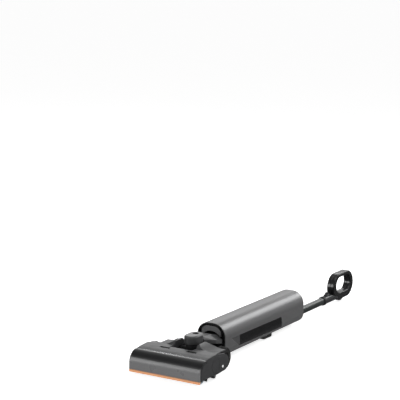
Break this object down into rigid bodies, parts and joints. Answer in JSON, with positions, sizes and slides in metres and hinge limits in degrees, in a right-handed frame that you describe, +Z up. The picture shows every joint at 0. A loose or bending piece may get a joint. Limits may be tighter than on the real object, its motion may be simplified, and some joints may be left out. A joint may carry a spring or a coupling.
{
  "type": "wet dry floor scrubber",
  "caption": "Upright floor washer lying flat: wide roller head with a front wiper strip, swivelling neck, long rounded tank body, thin rod and a loop grip.",
  "frame": {"origin": "centre of the overall length and width, on the floor plane", "axes": "X across the head, Y from the head toward the handle loop, Z up"},
  "size_m": [0.27, 1.305, 0.1282],
  "materials": {
    "head_chassis": "black moulded polymer, fine grain",
    "top_cover": "satin gray",
    "rear_cover": "satin gray",
    "end_cap_left": "dark gray satin moulding",
    "end_cap_right": "dark gray satin moulding",
    "rear_scraper": "black wiper rubber",
    "suction_duct": "black duct moulding",
    "spray_bar": "gray tube",
    "roller_motor": "motor can",
    "drive_belt": "belt rubber",
    "roller_bearings": "bearing steel",
    "head_screws": "zinc steel screws",
    "wheel_axles": "axle steel",
    "front_cover": "dark gloss shoulder",
    "front_panel": "satin gray face",
    "front_strip": "orange wiper strip",
    "cover_latch_left": "black latch",
    "cover_latch_right": "black latch",
    "roller_release": "white button",
    "roller_core": "roller tube",
    "roller_nap": "short soft pile",
    "roller_pulley": "acetal pulley",
    "motor_pulley": "acetal pulley",
    "rear_wheel_left": "black tyre on hub",
    "rear_wheel_right": "black tyre on hub",
    "caster_left": "small wheel",
    "caster_right": "small wheel",
    "yoke_block": "dark knuckle",
    "neck_boot": "ribbed boot",
    "neck_barrel": "satin gray barrel",
    "neck_arm": "satin gray arm",
    "body_shell": "satin metallic gray",
    "front_rim": "black rim",
    "inner_panel": "gray panel",
    "rear_cap": "dark end cap",
    "side_windows": "dark smoked window",
    "main_frame": "inner frame",
    "suction_motor": "motor housing",
    "fan_rotor": "fan",
    "exhaust_filter": "pleated filter",
    "battery_case": "battery tray",
    "battery_cells": "cell wrap",
    "control_board": "circuit board",
    "water_pump": "pump",
    "clean_tank": "tinted tank",
    "dirty_tank": "smoked tank",
    "tank_lid": "tank lid",
    "float_ball": "float",
    "tank_latch": "latch button",
    "rest_foot": "rest foot",
    "display": "dark display lens",
    "rod_tube": "dark greenish gray tube",
    "rod_collar": "black collar",
    "handle_socket": "dark socket",
    "loop_left": "black grip half",
    "loop_right": "black grip half",
    "release_button": "black button",
    "trigger": "black trigger",
    "power_button": "gray button",
    "mode_button": "gray button"
  },
  "bodies": {
    "head": {"head_chassis": "head_chassis", "top_cover": "top_cover", "rear_cover": "rear_cover", "end_cap_left": "end_cap_left", "end_cap_right": "end_cap_right", "rear_scraper": "rear_scraper", "suction_duct": "suction_duct", "spray_bar": "spray_bar", "roller_motor": "roller_motor", "drive_belt": "drive_belt", "roller_bearings": "roller_bearings", "head_screws": "head_screws", "wheel_axles": "wheel_axles"},
    "front_cover": {"front_cover": "front_cover", "front_panel": "front_panel", "front_strip": "front_strip"},
    "latch_left": {"cover_latch_left": "cover_latch_left"},
    "latch_right": {"cover_latch_right": "cover_latch_right"},
    "roller_release": {"roller_release": "roller_release"},
    "roller": {"roller_core": "roller_core", "roller_nap": "roller_nap", "roller_pulley": "roller_pulley"},
    "motor_pulley": {"motor_pulley": "motor_pulley"},
    "wheel_left": {"rear_wheel_left": "rear_wheel_left"},
    "wheel_right": {"rear_wheel_right": "rear_wheel_right"},
    "caster_left": {"caster_left": "caster_left"},
    "caster_right": {"caster_right": "caster_right"},
    "yoke": {"yoke_block": "yoke_block", "neck_boot": "neck_boot"},
    "main": {"neck_barrel": "neck_barrel", "neck_arm": "neck_arm", "body_shell": "body_shell", "front_rim": "front_rim", "inner_panel": "inner_panel", "rear_cap": "rear_cap", "side_windows": "side_windows", "main_frame": "main_frame", "suction_motor": "suction_motor", "exhaust_filter": "exhaust_filter", "battery_case": "battery_case", "battery_cells": "battery_cells", "control_board": "control_board", "water_pump": "water_pump", "clean_tank": "clean_tank", "rest_foot": "rest_foot", "display": "display", "rod_tube": "rod_tube", "rod_collar": "rod_collar"},
    "fan": {"fan_rotor": "fan_rotor"},
    "dirty_tank": {"dirty_tank": "dirty_tank", "tank_lid": "tank_lid"},
    "float": {"float_ball": "float_ball"},
    "tank_latch": {"tank_latch": "tank_latch"},
    "handle": {"handle_socket": "handle_socket", "loop_left": "loop_left", "loop_right": "loop_right"},
    "release_button": {"release_button": "release_button"},
    "trigger": {"trigger": "trigger"},
    "power_button": {"power_button": "power_button"},
    "mode_button": {"mode_button": "mode_button"}
  },
  "joints": [
    {"name": "front_cover_lift", "type": "slide", "parent": "head", "child": "front_cover", "axis": [0, -1, 0], "range_m": [0, 0.1]},
    {"name": "latch_left_slide", "type": "slide", "parent": "head", "child": "latch_left", "axis": [0, 1, 0], "range_m": [0, 0.003], "stiffness_N_per_m": 300},
    {"name": "latch_right_slide", "type": "slide", "parent": "head", "child": "latch_right", "axis": [0, 1, 0], "range_m": [0, 0.003], "stiffness_N_per_m": 300},
    {"name": "roller_release_push", "type": "slide", "parent": "head", "child": "roller_release", "axis": [-1, 0, 0], "range_m": [0, 0.0025], "stiffness_N_per_m": 300},
    {"name": "roller_spin", "type": "hinge", "parent": "head", "child": "roller", "pos_m": [0, -0.6125, 0.0333], "axis": [1, 0, 0], "continuous": true},
    {"name": "motor_pulley_spin", "type": "hinge", "parent": "head", "child": "motor_pulley", "pos_m": [0, -0.5365, 0.046], "axis": [1, 0, 0], "continuous": true},
    {"name": "wheel_left_spin", "type": "hinge", "parent": "head", "child": "wheel_left", "pos_m": [0, -0.4385, 0.038], "axis": [1, 0, 0], "continuous": true},
    {"name": "wheel_right_spin", "type": "hinge", "parent": "head", "child": "wheel_right", "pos_m": [0, -0.4385, 0.038], "axis": [1, 0, 0], "continuous": true},
    {"name": "caster_left_spin", "type": "hinge", "parent": "head", "child": "caster_left", "pos_m": [0, -0.5365, 0.009], "axis": [1, 0, 0], "continuous": true},
    {"name": "caster_right_spin", "type": "hinge", "parent": "head", "child": "caster_right", "pos_m": [0, -0.5365, 0.009], "axis": [1, 0, 0], "continuous": true},
    {"name": "neck_pitch", "type": "hinge", "parent": "head", "child": "yoke", "pos_m": [0, -0.4805, 0.06], "axis": [1, 0, 0], "range_deg": [0, 90]},
    {"name": "neck_swivel", "type": "hinge", "parent": "yoke", "child": "main", "pos_m": [0, -0.4885, 0.1], "axis": [0, 0, 1], "range_deg": [-8, 8]},
    {"name": "fan_spin", "type": "hinge", "parent": "main", "child": "fan", "pos_m": [0, -0.0145, 0.103], "axis": [0, 1, 0], "continuous": true},
    {"name": "dirty_tank_pull", "type": "slide", "parent": "main", "child": "dirty_tank", "axis": [0, 0, -1], "range_m": [0, 0.06]},
    {"name": "float_drop", "type": "slide", "parent": "dirty_tank", "child": "float", "axis": [0, 0, -1], "range_m": [0, 0.012]},
    {"name": "tank_latch_slide", "type": "slide", "parent": "main", "child": "tank_latch", "axis": [0, 1, 0], "range_m": [0, 0.0018], "stiffness_N_per_m": 300},
    {"name": "handle_pull", "type": "slide", "parent": "main", "child": "handle", "axis": [0, 1, 0], "range_m": [0, 0.05]},
    {"name": "release_button_push", "type": "slide", "parent": "handle", "child": "release_button", "axis": [0, 0, -1], "range_m": [0, 0.0012], "stiffness_N_per_m": 300},
    {"name": "trigger_pull", "type": "hinge", "parent": "handle", "child": "trigger", "pos_m": [0, 0.5495, 0.02], "axis": [1, 0, 0], "range_deg": [0, 8], "stiffness_Nm_per_rad": 0.6},
    {"name": "power_button_push", "type": "slide", "parent": "handle", "child": "power_button", "axis": [0, 0, -1], "range_m": [0, 0.0012], "stiffness_N_per_m": 300},
    {"name": "mode_button_push", "type": "slide", "parent": "handle", "child": "mode_button", "axis": [0, 0, -1], "range_m": [0, 0.0012], "stiffness_N_per_m": 300}
  ],
  "couplings": [
    {"joint": "motor_pulley_spin", "follows": "roller_spin", "ratio": 1.5714}
  ]
}
